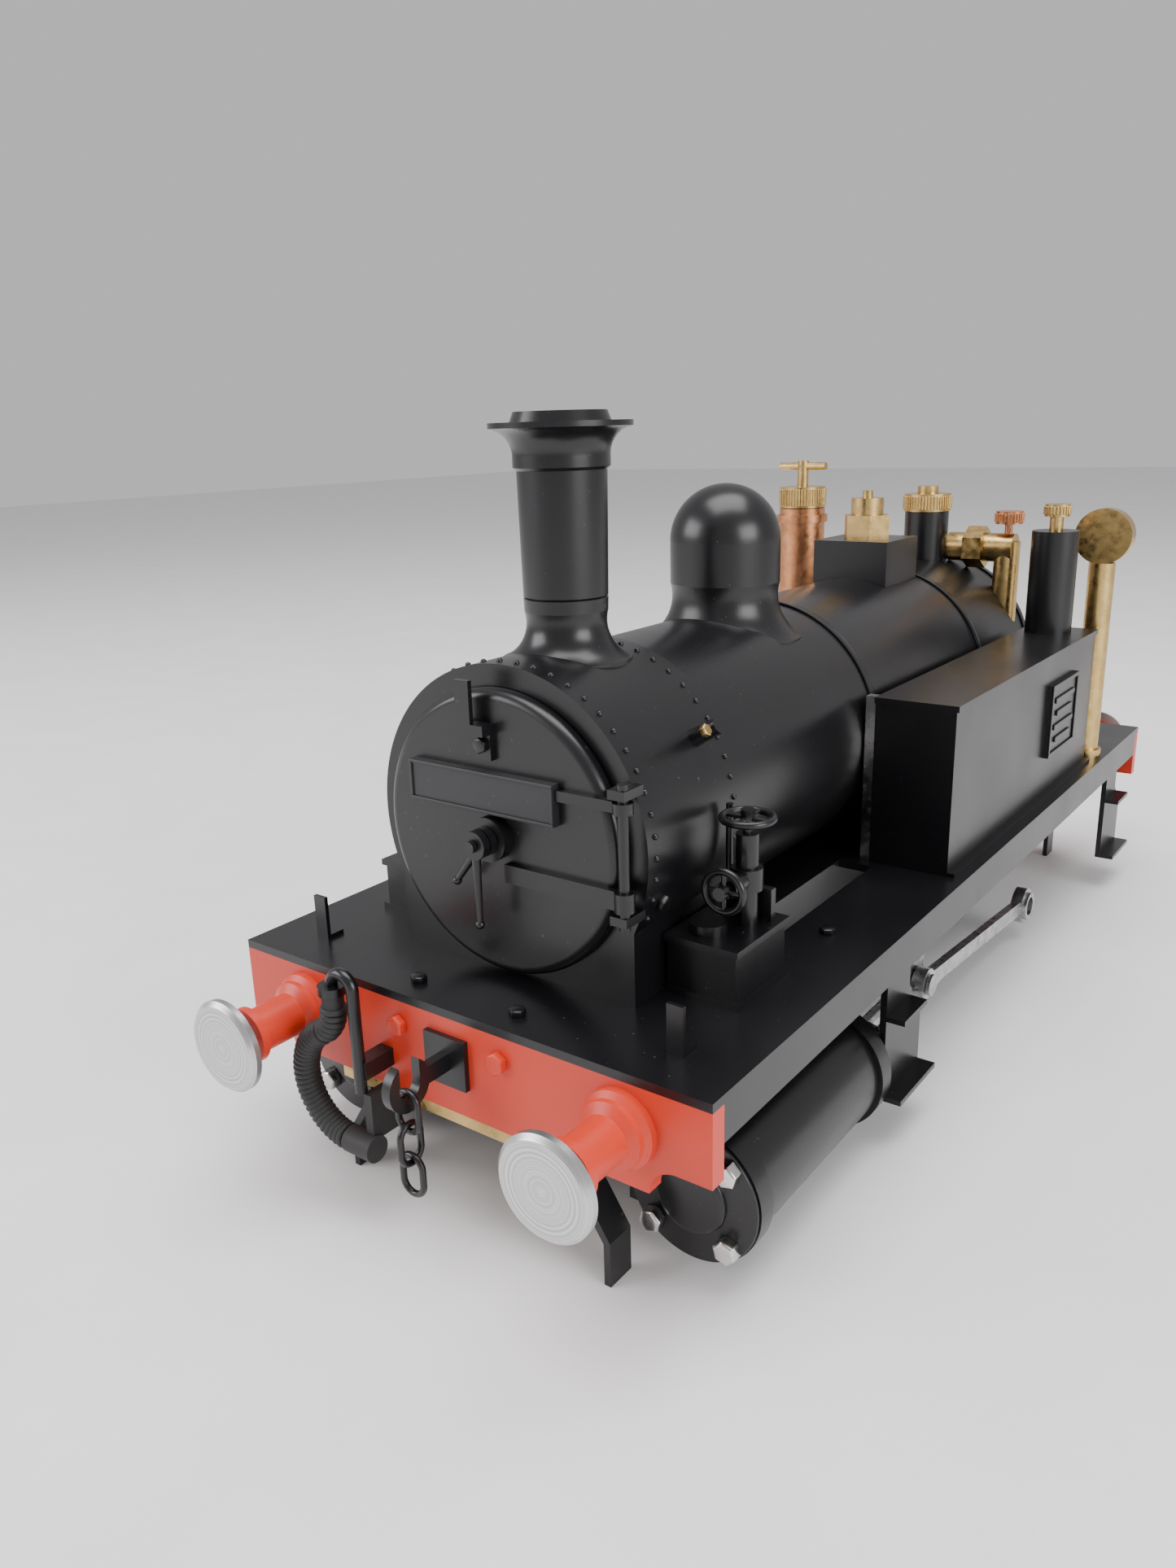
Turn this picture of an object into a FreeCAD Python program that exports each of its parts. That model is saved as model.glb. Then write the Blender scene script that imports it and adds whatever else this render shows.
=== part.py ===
import FreeCAD, Part
import math
import os
import Sketcher

doc = FreeCAD.newDocument("TankLocomotive")
sheet = doc.addObject("Spreadsheet::Sheet", "Dimensions")
parts = {}


class Size:
    """A length that carries its present value and its spreadsheet formula."""

    def __init__(self, value, formula):
        self.value = value
        self.formula = formula

    def __add__(self, other):
        return Size(self.value + value_of(other), f"({self.formula} + {formula_of(other)})")

    def __radd__(self, other):
        return Size(value_of(other) + self.value, f"({formula_of(other)} + {self.formula})")

    def __sub__(self, other):
        return Size(self.value - value_of(other), f"({self.formula} - {formula_of(other)})")

    def __rsub__(self, other):
        return Size(value_of(other) - self.value, f"({formula_of(other)} - {self.formula})")

    def __mul__(self, other):
        return Size(self.value * value_of(other), f"({self.formula} * {formula_of(other)})")

    def __rmul__(self, other):
        return self * other

    def __truediv__(self, other):
        return Size(self.value / value_of(other), f"({self.formula} / {formula_of(other)})")

    def __neg__(self):
        return Size(-self.value, f"(0 - {self.formula})")


def value_of(size):
    return size.value if isinstance(size, Size) else float(size)


def formula_of(size):
    return size.formula if isinstance(size, Size) else f"({float(size):.6f})"


def dimension(alias, value):
    """Write one driving dimension into the sheet and return it as a Size."""
    dimension.row += 1
    sheet.set(f"A{dimension.row}", alias)
    sheet.set(f"B{dimension.row}", str(value))
    sheet.setAlias(f"B{dimension.row}", alias)
    return Size(float(value), f"Dimensions.{alias}")


dimension.row = 0

# Whole engine, millimetres: X across, front towards -Y, Z up from the guard iron tips.
half_width = dimension("half_width", 39.5)
half_length = dimension("half_length", 96.9)
deck_height = dimension("deck_height", 32.0)
deck_thickness = dimension("deck_thickness", 1.2)
beam_thickness = dimension("beam_thickness", 2.5)
beam_depth = dimension("beam_depth", 9.7)
beam_centre_depth = dimension("beam_centre_depth", 13.5)
frame_face = dimension("frame_face", 18.4)
frame_thickness = dimension("frame_thickness", 1.6)
frame_bottom = dimension("frame_bottom", 16.0)
# Buffers and drawgear.
buffer_spacing = dimension("buffer_spacing", 27.2)
buffer_height = dimension("buffer_height", 26.05)
buffer_reach = dimension("buffer_reach", 14.84)
buffer_head_radius = dimension("buffer_head_radius", 6.5)
buffer_head_thickness = dimension("buffer_head_thickness", 1.8)
buffer_shaft_radius = dimension("buffer_shaft_radius", 1.3)
buffer_travel = dimension("buffer_travel", 2.0)
hook_height = dimension("hook_height", 26.2)
hook_reach = dimension("hook_reach", 7.7)
link_wire = dimension("link_wire", 0.45)
link_bend = dimension("link_bend", 1.75)
link_pitch = dimension("link_pitch", 5.6)
# Smokebox, boiler and their mountings.
boiler_axis = dimension("boiler_axis", 53.2)
smokebox_radius = dimension("smokebox_radius", 22.3)
smokebox_front = dimension("smokebox_front", -83.2)
smokebox_rear = dimension("smokebox_rear", -60.0)
saddle_half_width = dimension("saddle_half_width", 20.0)
boiler_radius = dimension("boiler_radius", 21.3)
boiler_rear = dimension("boiler_rear", 68.0)
sheet_wall = dimension("sheet_wall", 0.9)
door_radius = dimension("door_radius", 19.4)
door_thickness = dimension("door_thickness", 2.0)
door_gap = dimension("door_gap", 0.3)
hinge_across = dimension("hinge_across", 20.6)
hinge_pin_radius = dimension("hinge_pin_radius", 0.7)
chimney_place = dimension("chimney_place", -68.9)
chimney_top = dimension("chimney_top", 104.6)
chimney_bore = dimension("chimney_bore", 4.6)
dome_place = dimension("dome_place", -26.9)
dome_radius = dimension("dome_radius", 8.8)
dome_top = dimension("dome_top", 94.8)
# Tanks, sandboxes and cylinders.
tank_inner = dimension("tank_inner", 23.2)
tank_outer = dimension("tank_outer", 36.5)
tank_front = dimension("tank_front", -18.9)
tank_rear = dimension("tank_rear", 61.1)
tank_top = dimension("tank_top", 61.3)
sandbox_front = dimension("sandbox_front", -77.2)
sandbox_rear = dimension("sandbox_rear", -63.0)
sandbox_top = dimension("sandbox_top", 41.0)
cylinder_across = dimension("cylinder_across", 30.4)
cylinder_height = dimension("cylinder_height", 12.0)
cylinder_radius = dimension("cylinder_radius", 9.5)
cylinder_front = dimension("cylinder_front", -86.0)
cylinder_rear = dimension("cylinder_rear", -46.9)
piston_radius = dimension("piston_radius", 6.45)
piston_rod_radius = dimension("piston_rod_radius", 1.4)
crosshead_place = dimension("crosshead_place", -15.5)
rod_length = dimension("rod_length", 54.4)
rod_droop = 5.0
running_fit = dimension("running_fit", 0.05)
deck_top = deck_height + deck_thickness
beam_front = -half_length
door_back = smokebox_front - door_gap
door_face = door_back - door_thickness

TURNS = {
    "z": FreeCAD.Rotation(),
    "x": FreeCAD.Rotation(FreeCAD.Vector(0, 1, 0), 90),
    "y": FreeCAD.Rotation(FreeCAD.Vector(1, 0, 0), -90),
    "-y": FreeCAD.Rotation(FreeCAD.Vector(1, 0, 0), 90),
    "-z": FreeCAD.Rotation(FreeCAD.Vector(1, 0, 0), 180),
    "yz": FreeCAD.Rotation(FreeCAD.Vector(1, 1, 1), 120),
}


def bind(item, **sizes):
    for name, size in sizes.items():
        setattr(item, name, value_of(size))
        item.setExpression(name, formula_of(size))


def place(item, at, turn):
    item.Placement = FreeCAD.Placement(FreeCAD.Vector(*[value_of(size) for size in at]), turn)
    for axis, size in zip("xyz", at):
        item.setExpression(f"Placement.Base.{axis}", formula_of(size))
    return item


def box(left, right, front, rear, bottom, top):
    item = doc.addObject("Part::Box", "Block")
    bind(item, Length=right - left, Width=rear - front, Height=top - bottom)
    return place(item, (left, front, bottom), TURNS["z"])


def side_box(side, inner, outer, front, rear, bottom, top):
    """A block on one side of the engine; side is 1 for +X and -1 for -X."""
    left, right = (inner, outer) if side > 0 else (-outer, -inner)
    return box(left, right, front, rear, bottom, top)


def rod(radius, length, at, along="z"):
    item = doc.addObject("Part::Cylinder", "Rod")
    bind(item, Radius=radius, Height=length)
    return place(item, at, TURNS[along])


def cone(radius, end_radius, length, at, turn):
    item = doc.addObject("Part::Cone", "Taper")
    bind(item, Radius1=radius, Radius2=end_radius, Height=length)
    return place(item, at, turn)


def hexagon(across_flats, length, at, along="z"):
    item = doc.addObject("Part::Prism", "Hexagon")
    item.Polygon = 6
    bind(item, Circumradius=across_flats / math.sqrt(3), Height=length)
    return place(item, at, TURNS[along])


def ball(radius, at):
    item = doc.addObject("Part::Sphere", "Ball")
    bind(item, Radius=radius)
    return place(item, at, TURNS["z"])


def bend(radius, wire, sweep, at, turn):
    item = doc.addObject("Part::Torus", "Bend")
    bind(item, Radius1=radius, Radius2=wire)
    item.Angle3 = sweep
    return place(item, at, turn)


def fuse(*items):
    joined = doc.addObject("Part::MultiFuse", "Joined")
    joined.Shapes = list(items)
    return joined


def cut(base, *tools):
    item = doc.addObject("Part::Cut", "Trimmed")
    item.Base = base
    item.Tool = tools[0] if len(tools) == 1 else fuse(*tools)
    return item


def keep(name, item):
    item.Label = name
    parts[name] = item


def outline_sketch(body, role, outline):
    """A closed outline; a corner's third value bulges its next side to the left as an arc."""
    sketch = body.newObject("Sketcher::SketchObject", "Outline")
    plane = [item for item in body.Origin.OriginFeatures if item.Role == role][0]
    sketch.AttachmentSupport = [(plane, "")]
    sketch.MapMode = "FlatFace"
    spots = [FreeCAD.Vector(value_of(corner[0]), value_of(corner[1]), 0) for corner in outline]
    for index, corner in enumerate(outline):
        start, end = spots[index], spots[(index + 1) % len(spots)]
        if len(corner) == 3:
            side = end - start
            middle = (start + end) * 0.5 + FreeCAD.Vector(-side.y, side.x, 0) * corner[2]
            first, last = (end, start) if corner[2] > 0 else (start, end)
            sketch.addGeometry(Part.Arc(first, middle, last), False)
        else:
            sketch.addGeometry(Part.LineSegment(start, end), False)
    ends = [(2, 1) if len(corner) == 3 and corner[2] > 0 else (1, 2) for corner in outline]
    for index, corner in enumerate(outline):
        following = (index + 1) % len(outline)
        sketch.addConstraint(Sketcher.Constraint(
            "Coincident", index, ends[index][1], following, ends[following][0]))
        hold_corner(sketch, index, ends[index][0], "DistanceX", corner[0], -2)
        hold_corner(sketch, index, ends[index][0], "DistanceY", corner[1], -1)
    return sketch


def hold_corner(sketch, index, end, direction, size, axis):
    value = value_of(size)
    if abs(value) < 1e-9:
        sketch.addConstraint(Sketcher.Constraint("PointOnObject", index, end, axis))
        return
    if value > 0:
        rule = Sketcher.Constraint(direction, -1, 1, index, end, value)
        formula = formula_of(size)
    else:
        rule = Sketcher.Constraint(direction, index, end, -1, 1, -value)
        formula = formula_of(-size)
    number = sketch.addConstraint(rule)
    sketch.setExpression(f"Constraints[{number}]", formula)


def turned(outline, at, along="z"):
    """A lathe-turned body: the outline is (radius, distance along the axis)."""
    body = doc.addObject("PartDesign::Body", "Turned")
    sketch = outline_sketch(body, "XZ_Plane", outline)
    spin = body.newObject("PartDesign::Revolution", "Spin")
    spin.Profile = sketch
    spin.ReferenceAxis = (sketch, ["V_Axis"])
    spin.Angle = 360
    sketch.Visibility = False
    return place(body, at, TURNS[along])


def plate(outline, thickness, at, along):
    """A flat body cut from sheet: the outline in its own plane, then the thickness."""
    body = doc.addObject("PartDesign::Body", "Plate")
    sketch = outline_sketch(body, "XY_Plane", outline)
    pad = body.newObject("PartDesign::Pad", "Thickness")
    pad.Profile = sketch
    bind(pad, Length=thickness)
    return place(body, at, TURNS[along])


# ---- Running plate, beams and frames ----
def lamp_irons():
    """Upright blades on the running plate beside each buffer."""
    across, blade = 30.5, 0.6
    irons = []
    for side in (1, -1):
        for end in (-1, 1):
            face = (half_length - 6.5) * end
            foot = face if end < 0 else face - 3
            irons.append(side_box(side, across - 1.15, across + 1.15, foot, foot + 3,
                                  deck_top, deck_top + blade))
            irons.append(side_box(side, across - 1.15, across + 1.15, face, face + blade,
                                  deck_top, deck_top + 6.5))
    return irons


def make_footplate():
    slot_front, slot_rear = smokebox_rear, tank_front - 2
    deck = box(-half_width, half_width, -half_length, half_length, deck_height, deck_top)
    slots = [side_box(side, frame_face + 0.4, tank_inner + 1.4, slot_front, slot_rear,
                      deck_height - 1, deck_top + 1) for side in (1, -1)]
    valances = [side_box(side, half_width - 1, half_width, -half_length + beam_thickness,
                         half_length - beam_thickness, deck_height - 5, deck_height)
                for side in (1, -1)]
    keep("footplate", fuse(cut(deck, *slots), *valances, *lamp_irons()))


def make_beam(name, front):
    """A buffer beam whose lower edge drops through a hollow curve to the deep centre."""
    curve = beam_centre_depth - beam_depth
    centre_half = half_width - 8.5
    low, middle = deck_height - beam_centre_depth, deck_height - beam_depth
    rear = front + beam_thickness
    pieces = [box(-half_width, half_width, front, rear, middle, deck_height),
              box(-centre_half, centre_half, front, rear, low, middle)]
    for side in (1, -1):
        corner = side_box(side, centre_half, centre_half + curve, front, rear, low, middle)
        hollow = rod(curve, beam_thickness + 2, ((centre_half + curve) * side, front - 1, low), "y")
        pieces.append(cut(corner, hollow))
    keep(name, fuse(*pieces))


def make_frame(name, side):
    """A deep side frame with two axlebox slots open at the bottom."""
    slot_half, slot_top = 4.2, deck_height - 5
    front, rear = -half_length + beam_thickness, half_length - beam_thickness
    blank = side_box(side, frame_face - frame_thickness, frame_face, front, rear,
                     frame_bottom, deck_height)
    slots = [side_box(side, frame_face - frame_thickness - 1, frame_face + 1, centre - slot_half,
                      centre + slot_half, frame_bottom - 1, slot_top) for centre in (-34.0, 38.0)]
    keep(name, cut(blank, *slots))


def make_stretchers():
    inner = frame_face - frame_thickness
    places = (-half_length + beam_thickness, smokebox_rear, 2.0, half_length - beam_thickness - 5)
    bars = [box(-inner, inner, place_y, place_y + 5, frame_bottom + 0.9, frame_bottom + 5)
            for place_y in places]
    strip = box(-inner - 4, inner + 4, beam_front, beam_front + beam_thickness,
                deck_height - beam_centre_depth - 1.6, deck_height - beam_centre_depth)
    keep("frame_stretchers", fuse(*bars, strip))


def make_guard_irons(name, front):
    """Two bent blades that end over the rails and stand the engine up."""
    toe, knee, ankle, blade = 22.3, 12.0, 6.0, 1.0
    irons = []
    for side in (1, -1):
        edge = [(frame_face, deck_height - 6), (frame_face, knee), (toe, ankle), (toe, 0),
                (toe + blade, 0), (toe + blade, ankle + 0.4), (frame_face + blade, knee + 0.4),
                (frame_face + blade, deck_height - 6)]
        outline = [(x if side > 0 else -x, z) for x, z in edge]
        irons.append(plate(outline, 4.5, (0, front + 4.5, 0), "-y"))
    keep(name, fuse(*irons))


def make_steps(name, front, top_width, foot_width):
    """Hanging step plates with two treads on each side."""
    hanger_in, hanger_out, tread_out = half_width - 2, half_width - 1, half_width + 1.8
    pieces = []
    for side in (1, -1):
        outline = [(front, deck_height), (front, 7.2), (front + foot_width, 7.2),
                   (front + foot_width, 17.0), (front + top_width, 22.0),
                   (front + top_width, deck_height)]
        start = hanger_in if side > 0 else -hanger_out
        pieces.append(plate(outline, 1.0, (start, 0, 0), "yz"))
        for height, width in ((7.2, foot_width), (20.2, top_width)):
            pieces.append(side_box(side, hanger_out, tread_out, front, front + width,
                                   height, height + 0.8))
    keep(name, fuse(*pieces))


# ---- Buffers, hooks and coupling chain ----
def make_buffer_barrels():
    """Stepped turned barrels bored for the sprung shafts."""
    bore = buffer_shaft_radius + running_fit
    length = buffer_reach - buffer_head_thickness - buffer_travel
    outline = [(bore, 0), (5.0, 0), (5.0, 1.0), (4.3, 1.6), (4.3, 2.4), (3.1, 3.2),
               (3.1, length - 1.6), (3.9, length - 1.2), (3.9, length), (bore, length)]
    barrels = []
    for side in (1, -1):
        barrels.append(turned(outline, (buffer_spacing * side, -half_length, buffer_height), "-y"))
        barrels.append(turned(outline, (buffer_spacing * side, half_length, buffer_height), "y"))
    keep("buffer_barrels", fuse(*barrels))


def make_buffer_head(name, side, end):
    """A turned head and its shaft; the shaft slides in the barrel."""
    along = "y" if end < 0 else "-y"
    face = (half_length + buffer_reach) * end
    outline = [(0, 0), (buffer_head_radius - 0.6, 0), (buffer_head_radius, 0.6),
               (buffer_head_radius, buffer_head_thickness - 0.4),
               (buffer_head_radius - 1.5, buffer_head_thickness),
               (buffer_shaft_radius, buffer_head_thickness),
               (buffer_shaft_radius, buffer_reach - 3.0), (0, buffer_reach - 3.0)]
    keep(name, turned(outline, (buffer_spacing * side, face, buffer_height), along))


def make_draw_hooks():
    """A square backing plate with a flat hook whose mouth opens upwards."""
    eye, rim, flat = 1.8, 3.5, 0.7
    hooks = []
    for end in (-1, 1):
        face, tip = half_length * end, (half_length + hook_reach) * end
        near, far = (tip, face) if end < 0 else (face, tip)
        backing_front = face - 0.8 if end < 0 else face
        ring = cut(rod(rim, 2 * flat, (-flat, tip, hook_height), "x"),
                   rod(eye, 4 * flat, (-2 * flat, tip, hook_height), "x"))
        mouth_front = tip - 1.6 if end < 0 else tip - 1.8
        mouth = box(-2 * flat, 2 * flat, mouth_front, mouth_front + 3.4, hook_height, hook_height + 5)
        shank_inset = rim - 0.6
        shank = box(-flat, flat, near + (shank_inset if end < 0 else 0),
                    far - (0 if end < 0 else shank_inset), hook_height - 1.2, hook_height + 1.2)
        hooks += [cut(ring, mouth), shank,
                  box(-3.5, 3.5, backing_front, backing_front + 0.8,
                      hook_height - 3.5, hook_height + 3.5)]
    keep("draw_hooks", fuse(*hooks))


def make_link(name, top, plane):
    """A long oval wire link hanging from its top bend."""
    upper, lower = {
        "xz": (TURNS["-y"], TURNS["y"]),
        "yz": (TURNS["yz"], TURNS["-z"] * TURNS["yz"]),
    }[plane]
    front = -half_length - hook_reach
    straight = link_pitch - link_bend * 2
    high, low = top - link_bend, top - link_bend - straight
    pieces = [bend(link_bend, link_wire, 180, (0, front, high), upper),
              bend(link_bend, link_wire, 180, (0, front, low), lower)]
    for side in (1, -1):
        across = link_bend * side
        at = (across, front, low) if plane == "xz" else (0, front + across, low)
        pieces.append(rod(link_wire, straight, at))
    keep(name, fuse(*pieces))


def make_chain():
    slack = link_wire * 2 + 0.15
    top = hook_height - 1.8 + link_wire + 0.35
    for number, plane in enumerate(("xz", "yz", "xz"), 1):
        make_link(f"chain_link_{number}", top, plane)
        top = top - link_pitch + slack


def make_vacuum_pipe():
    """Standpipe, swan neck and the hose that loops back to its dummy plug on the beam."""
    pipe, hose, across = 0.85, 1.5, -11.5
    front, neck = -half_length - 5.1, 2.0
    crook_height, hose_start = deck_height + 2.6, deck_height - 0.6
    outlet = across - 2 * neck
    standpipe = fuse(
        rod(pipe, crook_height - 20.0, (across, front, 20.0)),
        bend(neck, pipe, 180, (across - neck, front, crook_height), TURNS["-y"]),
        rod(1.9, 1.2, (outlet, front, crook_height - 1.2)),
        box(across - 1.2, across + 1.2, front, -half_length, 22.0, 24.5))
    keep("vacuum_standpipe", standpipe)
    first, second, lean = 5.0, 8.0, 62.0
    reach, drop = math.cos(math.radians(lean)), math.sin(math.radians(lean))
    first_centre = outlet - first
    joint_across, joint_height = first_centre + first * reach, hose_start - first * drop
    second_across, second_height = joint_across + second * reach, joint_height - second * drop
    turn = TURNS["-y"]
    about = FreeCAD.Vector(0, 0, 1)
    loop = fuse(
        rod(hose, crook_height - 1.2 - hose_start, (outlet, front, hose_start)),
        bend(first, hose, lean, (first_centre, front, hose_start),
             turn * FreeCAD.Rotation(about, -lean)),
        bend(second, hose, 90 + lean, (second_across, front, second_height),
             turn * FreeCAD.Rotation(about, 180 - lean)),
        rod(1.9, 5.0, (second_across, front, second_height - second), "x"),
        box(second_across + 3.2, second_across + 4.6, front, -half_length, 13.0, 19.8))
    keep("vacuum_hose", loop)


# ---- Smokebox and door ----
def make_smokebox():
    """Wrapper, front ring, saddle and hinge pin in one, open inside, bored for the chimney."""
    length = smokebox_rear - smokebox_front
    inside = smokebox_radius - 1.2
    wrapper = rod(smokebox_radius, length, (0, smokebox_front, boiler_axis), "y")
    saddle = box(-saddle_half_width, saddle_half_width, smokebox_front, smokebox_rear,
                 deck_top, boiler_axis - 9)
    chamber = rod(inside, length - 1.5, (0, smokebox_front + 1.5, boiler_axis), "y")
    mouth = rod(door_radius - 2.4, 4, (0, smokebox_front - 1, boiler_axis), "y")
    flue = rod(chimney_bore, 30, (0, chimney_place, boiler_axis))
    under = box(-30, 30, smokebox_front - 1, smokebox_rear + 1, 20, deck_top)
    lugs = [box(hinge_across - 1.7, hinge_across + 0.8, door_face - 1.2, smokebox_front + 0.5,
                height, height + 1.2) for height in (45.6, 61.7)]
    pin = rod(hinge_pin_radius, 18.6, (hinge_across, door_face - 0.4, 45.0))
    shell = cut(fuse(wrapper, saddle), chamber, mouth, flue, under)
    keep("smokebox", fuse(shell, *lugs, pin))


def make_door():
    rim = 1.3
    outline = [(0, 0), (door_radius, 0), (door_radius, door_thickness - rim, -0.2071),
               (door_radius - rim, door_thickness), (0, door_thickness)]
    keep("smokebox_door", turned(outline, (0, door_back, boiler_axis), "-y"))


def make_door_straps():
    eye_radius, proud = 1.3, 0.9
    pin_place = door_face - 0.4
    straps = []
    for inner, low in ((2.0, 47.5), (10.8, 60.0)):
        high = low + (2.5 if inner < 5 else 1.4)
        blade = box(inner, hinge_across, door_face - proud, door_face, low, high)
        eye = rod(eye_radius, high - low, (hinge_across, pin_place, low))
        bore = rod(hinge_pin_radius + running_fit, high - low + 2,
                   (hinge_across, pin_place, low - 1))
        straps.append(cut(fuse(blade, eye), bore))
    keep("door_hinge_straps", fuse(*straps))


def make_door_fittings():
    """Blank number plate, lamp bracket and the boss that carries the two handles."""
    keep("number_plate", box(-13.6, 10.7, door_face - 1.2, door_face, 56.6, 62.1))
    foot = box(-2.2, 0.6, door_face - 0.8, door_face, 63.6, 68.4)
    blade = box(-3.8, -1.4, door_face - 2.2, door_face - 1.5, 67.0, 74.0)
    arm = box(-3.8, 0.6, door_face - 2.2, door_face - 0.8, 67.0, 68.4)
    keep("door_lamp_iron", fuse(foot, blade, arm))
    boss = rod(3.0, 1.8, (0, door_face, boiler_axis), "-y")
    spindle = rod(0.8, 5.3, (0, door_face, boiler_axis), "-y")
    keep("door_dart", fuse(boss, spindle))


def make_handle(name, gap, length, lean):
    """A hub on the dart spindle with a tapered round handle."""
    hub_front = door_face - 1.8 - gap
    middle = hub_front - 0.6
    turn = FreeCAD.Rotation(FreeCAD.Vector(0, 1, 0), lean) * TURNS["-z"]
    hub = rod(1.9, 1.2, (0, hub_front, boiler_axis), "-y")
    arm = cone(0.62, 0.42, length, (0, middle, boiler_axis), turn)
    radians = math.radians(lean)
    knob = ball(0.62, (-length * math.sin(radians), middle, boiler_axis - length * math.cos(radians)))
    bore = rod(0.8 + running_fit, 3, (0, hub_front + 1, boiler_axis), "-y")
    keep(name, cut(fuse(hub, arm, knob), bore))


def make_side_fitting():
    """A tapered elbow plug on each smokebox flank with a brass tip."""
    tilt = math.degrees(math.asin(11.6 / 22.3))
    pieces = []
    for side in (1, -1):
        turn = FreeCAD.Rotation(FreeCAD.Vector(0, 1, 0), (90 - tilt) * side)
        pieces.append(cone(2.0, 1.1, 26.5, (0, smokebox_front + 16.0, boiler_axis), turn))
    keep("smokebox_side_plugs", cut(fuse(*pieces), rod(smokebox_radius, 30,
         (0, smokebox_front, boiler_axis), "y")))


# ---- Boiler and mountings ----
def make_chimney():
    base = 66.0
    outline = [(chimney_bore, 0), (9.2, 0), (8.9, 74.2 - base, 0.2),
               (5.65, 80.5 - base), (5.7, 82.2 - base), (5.5, 82.35 - base), (5.7, 82.5 - base),
               (5.95, 98.6 - base), (6.4, 99.0 - base), (6.4, 100.2 - base, 0.2),
               (9.4, 103.9 - base), (9.4, chimney_top - base),
               (6.6, chimney_top - base), (6.1, chimney_top + 1.3 - base),
               (chimney_bore, chimney_top + 1.3 - base)]
    stack = turned(outline, (0, chimney_place, base))
    barrel = rod(smokebox_radius, 30, (0, smokebox_front, boiler_axis), "y")
    keep("chimney", cut(stack, barrel))


def make_boiler():
    """Sheet cladding with a closed rear end, resting on the footplate."""
    length = boiler_rear - smokebox_rear
    outer = rod(boiler_radius, length, (0, smokebox_rear, boiler_axis), "y")
    inner = rod(boiler_radius - sheet_wall, length - 1.5, (0, smokebox_rear, boiler_axis), "y")
    under = box(-30, 30, smokebox_rear - 1, boiler_rear + 1, 20, deck_top)
    keep("boiler_cladding", cut(outer, inner, under))


def make_inner_boiler():
    """Copper pressure vessel with a central flue, held by its two flanged ends."""
    length = boiler_rear - smokebox_rear - 1.5
    at = (0, smokebox_rear, boiler_axis)
    wide = boiler_radius - sheet_wall
    shell = rod(17.0, length, at, "y")
    flanges = [rod(wide, 2.0, at, "y"), rod(wide, 2.0, (0, boiler_rear - 3.5, boiler_axis), "y")]
    water_space = rod(15.8, length - 4, (0, smokebox_rear + 2, boiler_axis), "y")
    flue_tube = rod(6.2, length, at, "y")
    flue = rod(5.4, length + 2, (0, smokebox_rear - 1, boiler_axis), "y")
    under = box(-30, 30, smokebox_rear - 1, boiler_rear + 1, 20, deck_top)
    keep("inner_boiler", cut(fuse(cut(fuse(shell, *flanges), water_space), flue_tube), flue, under))


def make_dome():
    """Round-topped casing, open inside, flared down onto the cladding."""
    base = 66.0
    shoulder = dome_top - dome_radius
    outline = [(0, 0), (12.6, 0), (12.6, 70.8 - base, 0.18), (dome_radius, 79.4 - base), (dome_radius, shoulder - base),
               (0, shoulder - base)]
    casing = fuse(turned(outline, (0, dome_place, base)),
                  ball(dome_radius, (0, dome_place, shoulder)))
    bore = rod(dome_radius - 1.4, shoulder - base, (0, dome_place, base))
    barrel = rod(boiler_radius, 60, (0, dome_place - 30, boiler_axis), "y")
    keep("steam_dome", cut(casing, bore, barrel))


def make_boiler_fittings():
    """Safety valve on its square base, water filler turret and the steam elbow behind it."""
    barrel = rod(boiler_radius, 140, (0, smokebox_rear, boiler_axis), "y")
    base = box(-7.5, 7.5, 20.5, 35.5, 68, 81.5)
    keep("safety_valve_base", cut(base, barrel))
    keep("safety_valve", fuse(hexagon(8.0, 4.5, (0, 28, 81.5)), rod(3.1, 3.2, (0, 28, 86.0)),
                              rod(1.0, 1.4, (0, 28, 89.2))))
    stem = rod(4.6, 16.5, (0, 59.5, 68))
    bore = rod(1.2 + running_fit, 8, (0, 59.5, 78.5))
    keep("filler_turret", cut(stem, barrel, bore))
    cap = fuse(rod(4.9, 3.6, (0, 59.5, 84.6)), rod(1.2, 6.0, (0, 59.5, 80.0)),
               rod(2.2, 1.6, (0, 59.5, 88.2)))
    keep("filler_cap", cap)
    elbow = fuse(rod(3.0, 14, (4.6, 62.0, 77.0), "x"), rod(2.6, 17, (17.0, 62.0, 61.3)),
                 hexagon(7.6, 4, (8.5, 62.0, 77.0), "x"))
    turret = rod(4.6, 30, (0, 59.5, 60))
    spindle_bore = rod(0.8 + running_fit, 8, (17.0, 62.0, 73.5))
    keep("steam_elbow", cut(elbow, turret, barrel, spindle_bore))
    keep("steam_valve_knob", fuse(rod(0.8, 8.0, (17.0, 62.0, 75.0)), rod(2.8, 2.6, (17.0, 62.0, 82.0))))


# ---- Tanks and cab-end fittings ----
def make_tank(name, side):
    """A closed sheet tank with a raised lip and a footing angle."""
    body = side_box(side, tank_inner, tank_outer, tank_front, tank_rear, deck_top, tank_top)
    wall = sheet_wall
    hollow = side_box(side, tank_inner + wall, tank_outer - wall, tank_front + wall,
                      tank_rear - wall, deck_top + wall, tank_top - wall)
    lip = side_box(side, tank_inner, tank_outer + 0.5, tank_front - 0.5, tank_rear,
                   tank_top - 1.0, tank_top)
    angle = side_box(side, tank_outer, tank_outer + 1.2, tank_front, tank_rear,
                     deck_top, deck_top + 0.7)
    plate_back = side_box(side, tank_outer, tank_outer + 0.7, tank_rear - 31, tank_rear - 14,
                          deck_top + 8, deck_top + 22)
    keep(name, cut(fuse(body, lip, angle, plate_back), hollow))


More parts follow.
